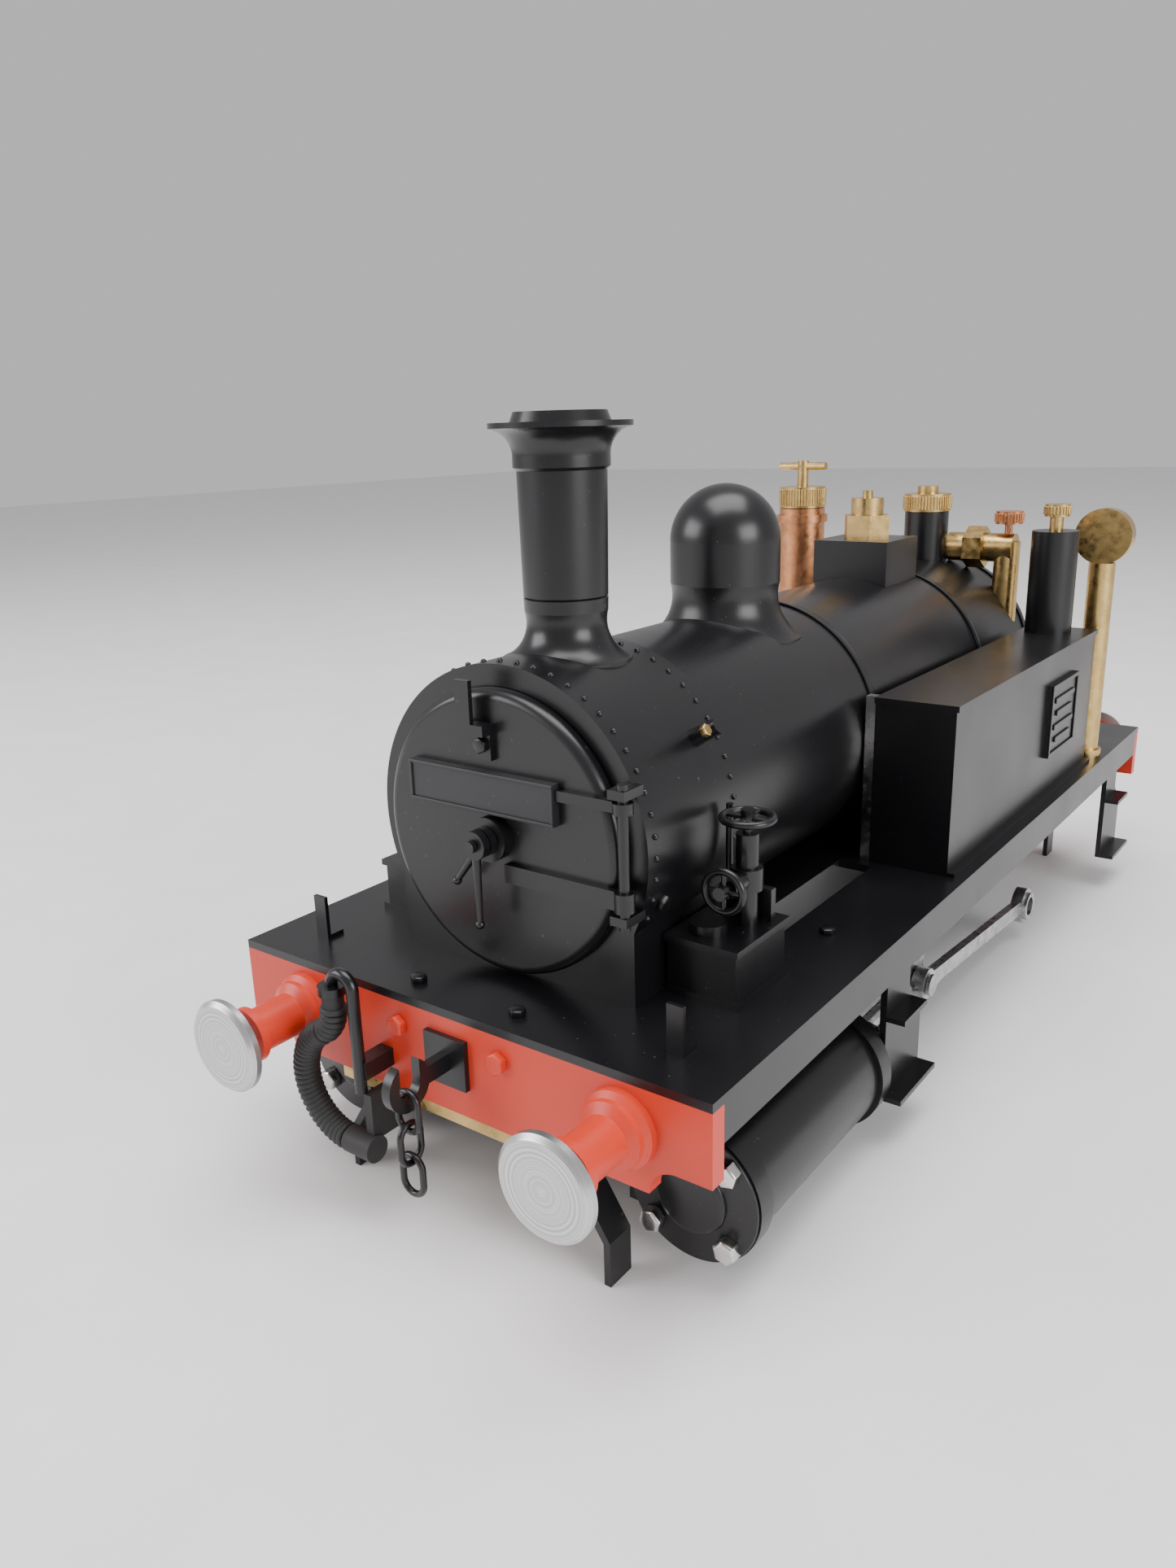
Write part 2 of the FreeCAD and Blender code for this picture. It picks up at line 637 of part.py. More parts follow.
def make_tank_strips():
    """Bright vertical angle strips in front of the tanks, against the boiler."""
    strips = [side_box(side, tank_inner - 1.6, tank_inner, tank_front, tank_front + 1.6,
                       deck_top, tank_top) for side in (1, -1)]
    keep("tank_edge_strips", fuse(*strips))


def make_gas_valve():
    at = (28.7, 54.5, tank_top)
    body = rod(4.5, 20.2, at)
    bore = rod(1.3 + running_fit, 12, (28.7, 54.5, tank_top + 10))
    keep("gas_valve_body", cut(body, bore))
    keep("gas_valve_spindle", fuse(rod(1.3, 12, (28.7, 54.5, tank_top + 11)),
                                   rod(2.4, 2.4, (28.7, 54.5, tank_top + 23))))


def make_lubricator():
    """Copper displacement lubricator beside the boiler with a screw cap and tommy bar."""
    across, along = -26.0, 52.0
    pot = fuse(rod(5.0, 24, (across, along, tank_top)), rod(5.6, 1.6, (across, along, tank_top + 21)))
    bore = rod(2.0 + running_fit, 6, (across, along, tank_top + 19))
    keep("lubricator_pot", cut(pot, bore))
    cap_base = tank_top + 24.2
    keep("lubricator_cap", fuse(rod(2.0, 4, (across, along, cap_base - 4)),
                                rod(5.0, 4.4, (across, along, cap_base)),
                                rod(1.2, 5.6, (across, along, cap_base + 4.4)),
                                rod(0.8, 11, (across - 5.5, along, cap_base + 8.8), "x")))


def make_gauge_column():
    """Brass water column on the footplate carrying the round pressure gauge."""
    column = rod(2.6, 41, (35.2, 66.5, deck_top))
    collar = rod(3.3, 1.6, (35.2, 66.5, deck_top))
    tap = rod(1.1, 3.6, (35.2, 66.5 + 2.0, 57.0), "y")
    gauge = rod(5.6, 3.4, (35.2, 64.8, 79.6), "y")
    keep("pressure_gauge", fuse(column, collar, tap, gauge))


def make_sandboxes():
    pieces = []
    for side in (1, -1):
        inner, outer = saddle_half_width + 0.6, 30.7
        pieces += [
            side_box(side, inner - 0.6, outer + 0.6, sandbox_front, sandbox_rear,
                     deck_top, deck_top + 0.9),
            side_box(side, inner, outer, sandbox_front + 0.6, sandbox_rear - 0.6,
                     deck_top, sandbox_top),
            side_box(side, inner - 0.3, outer + 0.5, sandbox_front + 0.1, sandbox_rear - 0.1,
                     sandbox_top - 0.7, sandbox_top + 0.2),
            rod(2.5, 1.6, (24.6 * side, -73.0, sandbox_top))]
    keep("sandboxes", fuse(*pieces))


def make_drain_valve():
    """A small steam valve on the right sandbox with two handwheels."""
    across, along = 27.4, -68.0
    base = sandbox_top + 0.2
    body = fuse(rod(1.5, 12.4, (across, along, base)),
                rod(2.1, 3.0, (across, along, sandbox_top + 5.0)),
                rod(1.3, 5.0, (across, along, sandbox_top + 6.5), "-y"),
                rod(0.5, 15.0, (across - 4.0, along + 2.4, base)),
                side_box(1, across - 4.6, across + 2.6, along + 1.8, along + 3.0,
                         base, base + 4.4))
    top_bore = rod(0.6 + running_fit, 5, (across, along, sandbox_top + 8.6))
    front_bore = rod(0.6 + running_fit, 4, (across, along - 2.0, sandbox_top + 6.5), "-y")
    keep("drain_valve", cut(body, top_bore, front_bore))
    make_handwheel("drain_handwheel_top", (across, along, sandbox_top + 14.6), "z", 3.3)
    make_handwheel("drain_handwheel_front", (across, along - 6.0, sandbox_top + 6.5), "-y", 2.7)


def make_handwheel(name, at, along, radius):
    """Rim, four spokes, hub and spindle; the spindle points back down the axis."""
    turn = TURNS[along]
    rim = bend(radius, 0.5, 360, at, turn)
    hub = rod(0.9, 1.2, at, along)
    spokes = []
    for across in (FreeCAD.Vector(1, 0, 0), FreeCAD.Vector(0, 1, 0)):
        spoke = doc.addObject("Part::Cylinder", "Spoke")
        bind(spoke, Radius=0.32, Height=2 * radius)
        aim = FreeCAD.Rotation(FreeCAD.Vector(0, 0, 1), turn.multVec(across))
        shift = turn.multVec(across) * value_of(radius)
        place(spoke, [at[0] - shift.x, at[1] - shift.y, at[2] - shift.z], aim)
        spokes.append(spoke)
    back = turn.multVec(FreeCAD.Vector(0, 0, -4.0))
    spindle = rod(0.6, 4.0, (at[0] + back.x, at[1] + back.y, at[2] + back.z), along)
    keep(name, fuse(rim, hub, spindle, *spokes))


# ---- Cylinders and motion ----
def make_cylinder(name, side):
    """Cast cylinder with end rings, bored for the piston and its rod."""
    at_across = cylinder_across * side
    length = cylinder_rear - cylinder_front
    barrel = rod(cylinder_radius - 0.7, length, (at_across, cylinder_front, cylinder_height), "y")
    rings = [rod(cylinder_radius, 3.0, (at_across, start, cylinder_height), "y")
             for start in (cylinder_front, cylinder_rear - 3.0)]
    cheek = side_box(side, frame_face, cylinder_across, cylinder_front + 3.0, cylinder_rear - 3.0,
                     cylinder_height - 7.5, deck_height)
    bore = rod(piston_radius + running_fit, length - 7,
               (at_across, cylinder_front + 4, cylinder_height), "y")
    gland = rod(piston_rod_radius + running_fit, 8, (at_across, cylinder_rear - 4, cylinder_height), "y")
    keep(name, cut(fuse(barrel, *rings, cheek), bore, gland))


def make_slide_bars(name, side):
    """Upper and lower guide bars and the bracket that ties them to the frame."""
    bar_out, bar_in = 31.0, 27.6
    end = -3.0
    bars = [side_box(side, bar_in, bar_out, cylinder_rear, end, low, low + 1.6)
            for low in (cylinder_height - 5.3, cylinder_height + 3.7)]
    bracket = side_box(side, frame_face, bar_out, -5.0, end,
                       cylinder_height + 5.3, 28.0)
    keep(name, fuse(*bars, bracket))


def make_crosshead(name, side):
    """Piston, rod, crosshead block and the pin that carries the connecting rod."""
    at_across = cylinder_across * side
    back = crosshead_place - 3.5
    slipper = side_box(side, 27.8, 31.0, back, back + 7,
                       cylinder_height - 3.6, cylinder_height + 3.6)
    stem = rod(piston_rod_radius, back + 65.5, (at_across, -65.5, cylinder_height), "y")
    piston = rod(piston_radius, 5.0, (at_across, -67.5, cylinder_height), "y")
    pin_start = 31.0 if side > 0 else -34.2
    pin = rod(1.2, 3.2, (pin_start, crosshead_place, cylinder_height), "x")
    washer_start = 33.7 if side > 0 else -34.2
    washer = rod(1.9, 0.5, (washer_start, crosshead_place, cylinder_height), "x")
    keep(name, fuse(slipper, stem, piston, pin, washer))


def make_connecting_rod(name, side):
    """A drooping rod with a small end on the crosshead pin and a flanged big end."""
    start = 31.3 if side > 0 else -33.4
    droop = math.radians(rod_droop)
    end_y = crosshead_place + rod_length * math.cos(droop)
    end_z = cylinder_height - rod_length * math.sin(droop)
    eyes = [rod(2.7, 2.1, (start, crosshead_place, cylinder_height), "x"),
            rod(3.6, 2.1, (start, end_y, end_z), "x")]
    bush_start = start + 2.1 if side > 0 else start - 0.8
    bush = rod(2.8, 0.8, (bush_start, end_y, end_z), "x")
    bar = doc.addObject("Part::Box", "Shank")
    bind(bar, Length=1.5, Width=rod_length, Height=2.8)
    turn = FreeCAD.Rotation(FreeCAD.Vector(1, 0, 0), -rod_droop)
    lift = turn.multVec(FreeCAD.Vector(0, 0, -1.4))
    place(bar, (start + 0.3, crosshead_place + lift.y, cylinder_height + lift.z), turn)
    holes = [rod(1.2 + running_fit, 4, (start - 1, crosshead_place, cylinder_height), "x"),
             rod(1.9, 5, (start - 1.5, end_y, end_z), "x")]
    keep(name, cut(fuse(*eyes, bush, bar), *holes))


def make_everything():
    make_footplate()
    make_beam("front_buffer_beam", -half_length)
    make_beam("rear_buffer_beam", half_length - beam_thickness)
    make_stretchers()
    make_guard_irons("front_guard_irons", -half_length + beam_thickness)
    make_guard_irons("rear_guard_irons", half_length - beam_thickness - 4.5)
    make_steps("front_steps", cylinder_rear + 0.6, 8.5, 13.5)
    make_steps("rear_steps", 75.5, 8.5, 13.5)
    make_buffer_barrels()
    for end, end_name in ((-1, "front"), (1, "rear")):
        for side, side_name in ((1, "right"), (-1, "left")):
            make_buffer_head(f"buffer_head_{end_name}_{side_name}", side, end)
    make_draw_hooks()
    make_chain()
    make_vacuum_pipe()
    make_smokebox()
    make_door()
    make_door_straps()
    make_door_fittings()
    make_handle("dart_handle_inner", 0.1, 8.0, 38.0)
    make_handle("dart_handle_outer", 1.5, 11.0, 0.0)
    make_side_fitting()
    make_chimney()
    make_boiler()
    make_inner_boiler()
    make_dome()
    make_boiler_fittings()
    make_tank_strips()
    make_gas_valve()
    make_lubricator()
    make_gauge_column()
    make_sandboxes()
    make_drain_valve()
    for side, side_name in ((1, "right"), (-1, "left")):
        make_frame(f"main_frame_{side_name}", side)
        make_tank(f"side_tank_{side_name}", side)
        make_cylinder(f"cylinder_{side_name}", side)
        make_slide_bars(f"slide_bars_{side_name}", side)
        make_crosshead(f"crosshead_{side_name}", side)
        make_connecting_rod(f"connecting_rod_{side_name}", side)


def check_and_write():
    doc.recompute()
    for item in doc.Objects:
        if "Invalid" in item.State or "Error" in item.State:
            raise RuntimeError(f"{item.Label} did not recompute: {item.State}")
    os.makedirs("parts", exist_ok=True)
    for name, item in parts.items():
        if item.Shape.isNull() or not item.Shape.isValid() or not item.Shape.Solids:
            raise RuntimeError(f"{name} has no valid solid")
    for name, item in parts.items():
        item.Shape.exportStep(f"parts/{name}.step")


make_everything()
check_and_write()
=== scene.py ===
import math

import bpy
from mathutils import Matrix, Vector


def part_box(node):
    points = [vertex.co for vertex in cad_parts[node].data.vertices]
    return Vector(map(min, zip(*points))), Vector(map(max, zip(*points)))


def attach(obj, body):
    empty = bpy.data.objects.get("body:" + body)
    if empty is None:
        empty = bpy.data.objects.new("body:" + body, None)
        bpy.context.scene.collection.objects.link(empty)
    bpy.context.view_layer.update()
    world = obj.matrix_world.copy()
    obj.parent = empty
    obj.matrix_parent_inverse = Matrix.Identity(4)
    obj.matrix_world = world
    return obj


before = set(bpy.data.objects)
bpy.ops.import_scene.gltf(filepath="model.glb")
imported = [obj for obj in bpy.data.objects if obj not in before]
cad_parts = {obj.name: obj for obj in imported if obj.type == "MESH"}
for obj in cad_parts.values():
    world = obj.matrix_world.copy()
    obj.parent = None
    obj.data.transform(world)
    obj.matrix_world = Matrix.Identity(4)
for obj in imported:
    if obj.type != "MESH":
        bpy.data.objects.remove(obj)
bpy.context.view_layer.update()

bl_info = {
    "name": "Tank Locomotive Finish",
    "version": (1, 0, 0),
    "blender": (4, 5, 0),
    "location": "View3D > Sidebar > Locomotive",
    "description": "Adds rivets, bolts, bands, knurling and paint to a model tank locomotive",
    "category": "Object",
}

MM = 0.001
BOILER_AXIS = 53.2 * MM
SMOKEBOX_RADIUS = 22.3 * MM
DECK_TOP = 33.2 * MM
CYLINDER_ACROSS = 30.4 * MM
CYLINDER_HEIGHT = 12.0 * MM
COVER_THICKNESS = 0.6 * MM

RIVET_ARC = math.radians(115)
FRONT_RIVET_INSET = 5.3 * MM
REAR_RIVET_INSET = 2.4 * MM

FRONT_BAND = -13.6 * MM
MIDDLE_BAND = 37.9 * MM
REAR_BAND_INSET = 1.2 * MM
BAND_THICKNESS = 0.3 * MM

HOSE_Y = -102.0 * MM
HOSE_OUTLET_X = -15.5 * MM
HOSE_OUTLET_Z = 31.4 * MM
HOSE_RADIUS = 1.45 * MM
RIB_PITCH = 0.8 * MM

RIDGE_RADIUS = 0.24 * MM
RIDGE_PITCH = 0.62


class LocomotiveSizes(bpy.types.PropertyGroup):
    """Sizes and colours that a model maker would change."""

    rivet_radius: bpy.props.FloatProperty(
        name="Rivet radius", description="Radius of a round rivet head",
        default=0.42 * MM, unit="LENGTH")
    rivet_pitch: bpy.props.FloatProperty(
        name="Rivet pitch", description="Distance between rivets round the smokebox",
        default=2.8 * MM, unit="LENGTH")
    band_width: bpy.props.FloatProperty(
        name="Band width", description="Width of a boiler band",
        default=1.7 * MM, unit="LENGTH")
    bolt_flats: bpy.props.FloatProperty(
        name="Bolt size", description="Across flats of the larger bolt heads",
        default=2.6 * MM, unit="LENGTH")
    hose_rib: bpy.props.FloatProperty(
        name="Hose rib", description="Thickness of one rib of the brake hose",
        default=0.42 * MM, unit="LENGTH")
    engine_paint: bpy.props.FloatVectorProperty(
        name="Engine paint", description="Colour of the satin paint", subtype="COLOR",
        default=(0.004, 0.004, 0.005), min=0, max=1)
    beam_paint: bpy.props.FloatVectorProperty(
        name="Beam paint", description="Colour of the buffer beams", subtype="COLOR",
        default=(0.58, 0.035, 0.012), min=0, max=1)


# ---- Finishes ----
def start_finish(name):
    finish = bpy.data.materials.new(name)
    finish.use_nodes = True
    nodes = finish.node_tree.nodes
    shader = nodes["Principled BSDF"]
    place = nodes.new("ShaderNodeTexCoord")
    return finish, nodes, finish.node_tree.links, shader, place


def add_noise(nodes, links, place, scale, detail=3.0):
    noise = nodes.new("ShaderNodeTexNoise")
    noise.inputs["Scale"].default_value = scale
    noise.inputs["Detail"].default_value = detail
    links.new(place.outputs["Object"], noise.inputs["Vector"])
    return noise


def add_ramp(nodes, links, source, stops):
    ramp = nodes.new("ShaderNodeValToRGB")
    for element, (spot, colour) in zip(ramp.color_ramp.elements, stops):
        element.position = spot
        element.color = (*colour, 1)
    links.new(source, ramp.inputs["Fac"])
    return ramp


def add_bump(nodes, links, source, shader, strength, height):
    bump = nodes.new("ShaderNodeBump")
    bump.inputs["Strength"].default_value = strength
    bump.inputs["Distance"].default_value = height
    links.new(source, bump.inputs["Height"])
    links.new(bump.outputs["Normal"], shader.inputs["Normal"])


def grey(value):
    return (value, value, value)


def paint_finish(name, colour, roughness, dust):
    """Satin paint with a faint orange peel and scattered dust."""
    finish, nodes, links, shader, place = start_finish(name)
    specks = add_noise(nodes, links, place, 1900, 1.0)
    pale = tuple(channel + dust for channel in colour)
    tint = add_ramp(nodes, links, specks.outputs["Fac"], ((0.75, colour), (0.80, pale)))
    links.new(tint.outputs["Color"], shader.inputs["Base Color"])
    cloud = add_noise(nodes, links, place, 60)
    sheen = add_ramp(nodes, links, cloud.outputs["Fac"],
                     ((0.3, grey(roughness - 0.03)), (0.7, grey(roughness + 0.04))))
    links.new(sheen.outputs["Color"], shader.inputs["Roughness"])
    peel = add_noise(nodes, links, place, 900, 1.0)
    add_bump(nodes, links, peel.outputs["Fac"], shader, 0.06, 0.02 * MM)
    return finish


def metal_finish(name, colour, dark, roughness, grain=700):
    """Bare metal with uneven tarnish and fine tool marks."""
    finish, nodes, links, shader, place = start_finish(name)
    shader.inputs["Metallic"].default_value = 1.0
    tarnish = add_noise(nodes, links, place, 500)
    tint = add_ramp(nodes, links, tarnish.outputs["Fac"], ((0.35, dark), (0.65, colour)))
    links.new(tint.outputs["Color"], shader.inputs["Base Color"])
    marks = add_noise(nodes, links, place, grain)
    sheen = add_ramp(nodes, links, marks.outputs["Fac"],
                     ((0.3, grey(roughness - 0.08)), (0.7, grey(roughness + 0.10))))
    links.new(sheen.outputs["Color"], shader.inputs["Roughness"])
    return finish


def turned_finish(name, centre):
    """Faced metal with rings cut about the centre, which is a point on the axis along Y."""
    finish, nodes, links, shader, place = start_finish(name)
    shader.inputs["Metallic"].default_value = 1.0
    shader.inputs["Roughness"].default_value = 0.34
    shift = nodes.new("ShaderNodeMapping")
    shift.inputs["Location"].default_value = (-centre.x, 0, -centre.z)
    shift.inputs["Scale"].default_value = (1, 0, 1)
    links.new(place.outputs["Object"], shift.inputs["Vector"])
    radius = nodes.new("ShaderNodeVectorMath")
    radius.operation = "LENGTH"
    links.new(shift.outputs["Vector"], radius.inputs[0])
    rings = nodes.new("ShaderNodeTexNoise")
    rings.noise_dimensions = "1D"
    rings.inputs["Scale"].default_value = 3200
    rings.inputs["Detail"].default_value = 2.0
    links.new(radius.outputs["Value"], rings.inputs["W"])
    tint = add_ramp(nodes, links, rings.outputs["Fac"], ((0.3, grey(0.42)), (0.7, grey(0.66))))
    links.new(tint.outputs["Color"], shader.inputs["Base Color"])
    add_bump(nodes, links, rings.outputs["Fac"], shader, 0.35, 0.04 * MM)
    return finish


def make_finishes(sizes):
    red = tuple(sizes.beam_paint)
    black = tuple(sizes.engine_paint)
    return {
        "black": paint_finish("satin_black_paint", black, 0.30, 0.05),
        "plate": paint_finish("matt_plate_paint", (0.016, 0.016, 0.018), 0.5, 0.06),
        "red": paint_finish("beam_red_paint", red, 0.40, 0.01),
        "steel": metal_finish("bright_steel", grey(0.62), grey(0.40), 0.30),
        "nickel": metal_finish("nickel_plate", (0.74, 0.72, 0.68), grey(0.55), 0.22),
        "brass": metal_finish("turned_brass", (0.60, 0.42, 0.17), (0.50, 0.34, 0.13), 0.30),
        "copper": metal_finish("bare_copper", (0.64, 0.30, 0.15), (0.52, 0.22, 0.10), 0.32),
        "rubber": paint_finish("hose_rubber", grey(0.015), 0.6, 0.05),
    }


FINISH_BY_WORD = (
    ("buffer_beam", "red"), ("buffer_barrels", "red"), ("inner_boiler", "copper"),
    ("lubricator_pot", "copper"), ("frame_stretchers", "brass"), ("safety_valve_base", "black"),
    ("safety_valve", "brass"), ("filler_cap", "brass"), ("steam_valve_knob", "copper"),
    ("gas_valve_spindle", "brass"), ("lubricator_cap", "brass"), ("pressure_gauge", "brass"),
    ("steam_elbow", "brass"),
    ("connecting_rod", "steel"), ("crosshead", "steel"), ("slide_bars", "steel"),
    ("tank_edge", "nickel"), ("vacuum_hose", "rubber"), ("number_plate", "plate"))


def coat(piece, finish):
    piece.data.materials.clear()
    piece.data.materials.append(finish)


# ---- Modelling helpers ----
def deselect():
    bpy.ops.object.select_all(action="DESELECT")


def edit(select_all=False):
    bpy.ops.object.mode_set(mode="EDIT")
    bpy.ops.mesh.select_all(action="SELECT" if select_all else "DESELECT")


def done():
    bpy.ops.object.mode_set(mode="OBJECT")


def pick_faces(piece, test):
    """Select the faces whose centre passes the test, then go back to edit mode."""
    edit()
    bpy.ops.mesh.select_mode(type="FACE")
    done()
    for face in piece.data.polygons:
        face.select = test(face)
    bpy.ops.object.mode_set(mode="EDIT")


def bevel_all(piece, width, segments=2):
    soften = piece.modifiers.new("Soften", "BEVEL")
    soften.width = width
    soften.segments = segments
    soften.limit_method = "ANGLE"
    bpy.ops.object.modifier_apply(modifier=soften.name)


def rivet_head(radius):
    """A round head: a ball cut off flat at its base, pointing along +Z."""
    deselect()
    bpy.ops.mesh.primitive_uv_sphere_add(segments=14, ring_count=8, radius=radius)
    head = bpy.context.object
    edit(True)
    bpy.ops.mesh.bisect(plane_co=(0, 0, -0.3 * radius), plane_no=(0, 0, 1), use_fill=True,
                        clear_inner=True)
    done()
    bpy.ops.object.shade_smooth_by_angle(angle=math.radians(50))
    return head


def hex_head(flats, height):
    """A hexagon head with a washer face and a chamfered top, pointing along +Z."""
    deselect()
    bpy.ops.mesh.primitive_cylinder_add(vertices=6, radius=flats / math.sqrt(3), depth=height,
                                        location=(0, 0, height / 2))
    head = bpy.context.object
    bpy.ops.object.transform_apply(location=True, rotation=True, scale=True)
    pick_faces(head, lambda face: face.normal.z > 0.9)
    bpy.ops.mesh.inset(thickness=flats * 0.10)
    bpy.ops.transform.translate(value=(0, 0, height * 0.14))
    done()
    bevel_all(head, flats * 0.03)
    bpy.ops.object.shade_smooth_by_angle(angle=math.radians(30))
    return head


def repeat(master, name, places, body, finish):
    """Copy the master to every place, join the copies into one piece and delete the master."""
    copies = []
    for matrix in places:
        copy = bpy.data.objects.new(name, master.data.copy())
        copy.data.transform(matrix)
        bpy.context.scene.collection.objects.link(copy)
        copies.append(copy)
    bpy.data.objects.remove(master)
    deselect()
    for copy in copies:
        copy.select_set(True)
    bpy.context.view_layer.objects.active = copies[0]
    if len(copies) > 1:
        bpy.ops.object.join()
    piece = bpy.context.object
    piece.name = name
    settle(piece, body, finish)


def settle(piece, body, finish):
    coat(piece, finish)
    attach(piece, body)


def aimed(at, direction, roll=0.0):
    """The matrix that turns +Z to the direction and moves it to the point."""
    turn = Vector(direction).to_track_quat("Z", "Y").to_matrix().to_4x4()
    return Matrix.Translation(at) @ turn @ Matrix.Rotation(roll, 4, "Z")


class FinishOperator:
    bl_options = {"REGISTER", "UNDO"}

    def finish(self, name):
        return FINISHES[name]

    @property
    def sizes(self):
        return bpy.context.scene.locomotive_sizes


FINISHES = {}


class LOCO_OT_paint(FinishOperator, bpy.types.Operator):
    """Give every engine part its paint or bare metal."""

    bl_idname = "loco.paint"
    bl_label = "Paint the engine"

    def execute(self, context):
        FINISHES.update(make_finishes(self.sizes))
        for name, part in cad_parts.items():
            if name.startswith("buffer_head"):
                low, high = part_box(name)
                coat(part, turned_finish(f"turned_{name}", (low + high) / 2))
                continue
            words = [finish for word, finish in FINISH_BY_WORD if word in name]
            coat(part, FINISHES[words[0] if words else "black"])
        return {"FINISHED"}


class LOCO_OT_rivets(FinishOperator, bpy.types.Operator):
    """Two rows of rivets round the smokebox."""

    bl_idname = "loco.rivets"
    bl_label = "Smokebox rivets"

    def execute(self, context):
        low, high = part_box("smokebox")
        step = self.sizes.rivet_pitch / SMOKEBOX_RADIUS
        count = int(RIVET_ARC / step)
        places = []
        for row in (low.y + FRONT_RIVET_INSET, high.y - REAR_RIVET_INSET):
            for index in range(-count, count + 1):
                angle = (index + 0.5) * step
                out = Vector((math.sin(angle), 0, math.cos(angle)))
                at = out * SMOKEBOX_RADIUS + Vector((0, row, BOILER_AXIS))
                places.append(aimed(at, out))
        repeat(rivet_head(self.sizes.rivet_radius), "smokebox_rivets", places, "chassis",
               self.finish("black"))
        return {"FINISHED"}


class LOCO_OT_bands(FinishOperator, bpy.types.Operator):
    """Thin bands that hold the boiler cladding."""

    bl_idname = "loco.bands"
    bl_label = "Boiler bands"

    def execute(self, context):
        low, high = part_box("boiler_cladding")
        radius = (high.x - low.x) / 2 + 0.02 * MM
        places = (FRONT_BAND, MIDDLE_BAND, high.y - REAR_BAND_INSET)
        for number, along in enumerate(places, 1):
            deselect()
            bpy.ops.mesh.primitive_cylinder_add(
                vertices=128, radius=radius, depth=self.sizes.band_width, end_fill_type="NOTHING",
                location=(0, along, BOILER_AXIS), rotation=(math.pi / 2, 0, 0))
            band = bpy.context.object
            bpy.ops.object.transform_apply(location=True, rotation=True, scale=True)
            edit(True)
            bpy.ops.mesh.bisect(plane_co=(0, 0, DECK_TOP + 0.1 * MM), plane_no=(0, 0, 1),
                                clear_inner=True)
            done()
            wall = band.modifiers.new("Wall", "SOLIDIFY")
            wall.thickness = BAND_THICKNESS
            wall.offset = 1.0
            bpy.ops.object.modifier_apply(modifier=wall.name)
            bevel_all(band, 0.08 * MM)
            bpy.ops.object.shade_smooth_by_angle(angle=math.radians(35))
            band.name = f"boiler_band_{number}"
            settle(band, "chassis", self.finish("black"))
        return {"FINISHED"}


class LOCO_OT_bolts(FinishOperator, bpy.types.Operator):
    """Bolt heads on the beams, running plate, cylinder covers and door."""

    bl_idname = "loco.bolts"
    bl_label = "Bolts"

    def execute(self, context):
        self.beam_bolts()
        self.running_plate_bolts()
        self.cylinder_cover_bolts()
        self.smokebox_bolts()
        self.door_bolt()
        return {"FINISHED"}

    def beam_bolts(self):
        across, drop = 8.7 * MM, 3.45 * MM
        beam_low, beam_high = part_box("front_buffer_beam")
        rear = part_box("rear_buffer_beam")[1].y
        places = [aimed((side * across, face, beam_high.z - drop), (0, way, 0))
                  for side in (-1, 1) for face, way in ((beam_low.y, -1), (rear, 1))]
        repeat(hex_head(self.sizes.bolt_flats, 1.1 * MM), "beam_bolts", places, "chassis",
               self.finish("red"))

    def running_plate_bolts(self):
        spots = ((8.6, -92.8), (-8.6, -92.8), (30.1, -49.1), (-30.1, -49.1),
                 (8.6, 92.8), (-8.6, 92.8))
        places = [aimed((x * MM, y * MM, DECK_TOP), (0, 0, 1)) for x, y in spots]
        repeat(hex_head(2.0 * MM, 0.8 * MM), "running_plate_bolts", places, "chassis",
               self.finish("black"))

    def cylinder_cover_bolts(self):
        bolt_circle = 7.7 * MM
        places = []
        for name in ("cylinder_left", "cylinder_right"):
            low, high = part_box(name)
            centre = CYLINDER_ACROSS if high.x > 0 else -CYLINDER_ACROSS
            for face, way in ((low.y - COVER_THICKNESS, -1), (high.y, 1)):
                for turn in range(4):
                    angle = math.radians(45 + 90 * turn)
                    at = (centre + bolt_circle * math.cos(angle), face,
                          CYLINDER_HEIGHT + bolt_circle * math.sin(angle))
                    places.append(aimed(at, (0, way, 0), angle))
        repeat(hex_head(2.9 * MM, 1.5 * MM), "cylinder_cover_bolts", places, "chassis",
               self.finish("nickel"))

    def smokebox_bolts(self):
        """Bolts in the flanks and the bright tips of the side plugs."""
        flank = [aimed((side * 21.2 * MM, -79.0 * MM, 46.6 * MM), (side, 0, -0.31))
                 for side in (-1, 1)]
        repeat(hex_head(2.0 * MM, 0.9 * MM), "smokebox_flank_bolts", flank, "chassis",
               self.finish("black"))
        plug_rise, plug_reach = 11.6 * MM, 26.3 * MM
        tilt = math.asin(plug_rise / SMOKEBOX_RADIUS)
        middle = Vector((0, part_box("smokebox")[0].y + 16.0 * MM, BOILER_AXIS))
        tips = []
        for side in (-1, 1):
            out = Vector((side * math.cos(tilt), 0, math.sin(tilt)))
            tips.append(aimed(out * plug_reach + middle, out))
        repeat(hex_head(1.5 * MM, 0.7 * MM), "side_plug_tips", tips, "chassis",
               self.finish("brass"))

    def door_bolt(self):
        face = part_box("smokebox_door")[0].y - 0.8 * MM
        repeat(hex_head(1.9 * MM, 0.7 * MM), "door_bracket_bolt",
               [aimed((-0.8 * MM, face, 65.6 * MM), (0, -1, 0))], "door",
               self.finish("black"))


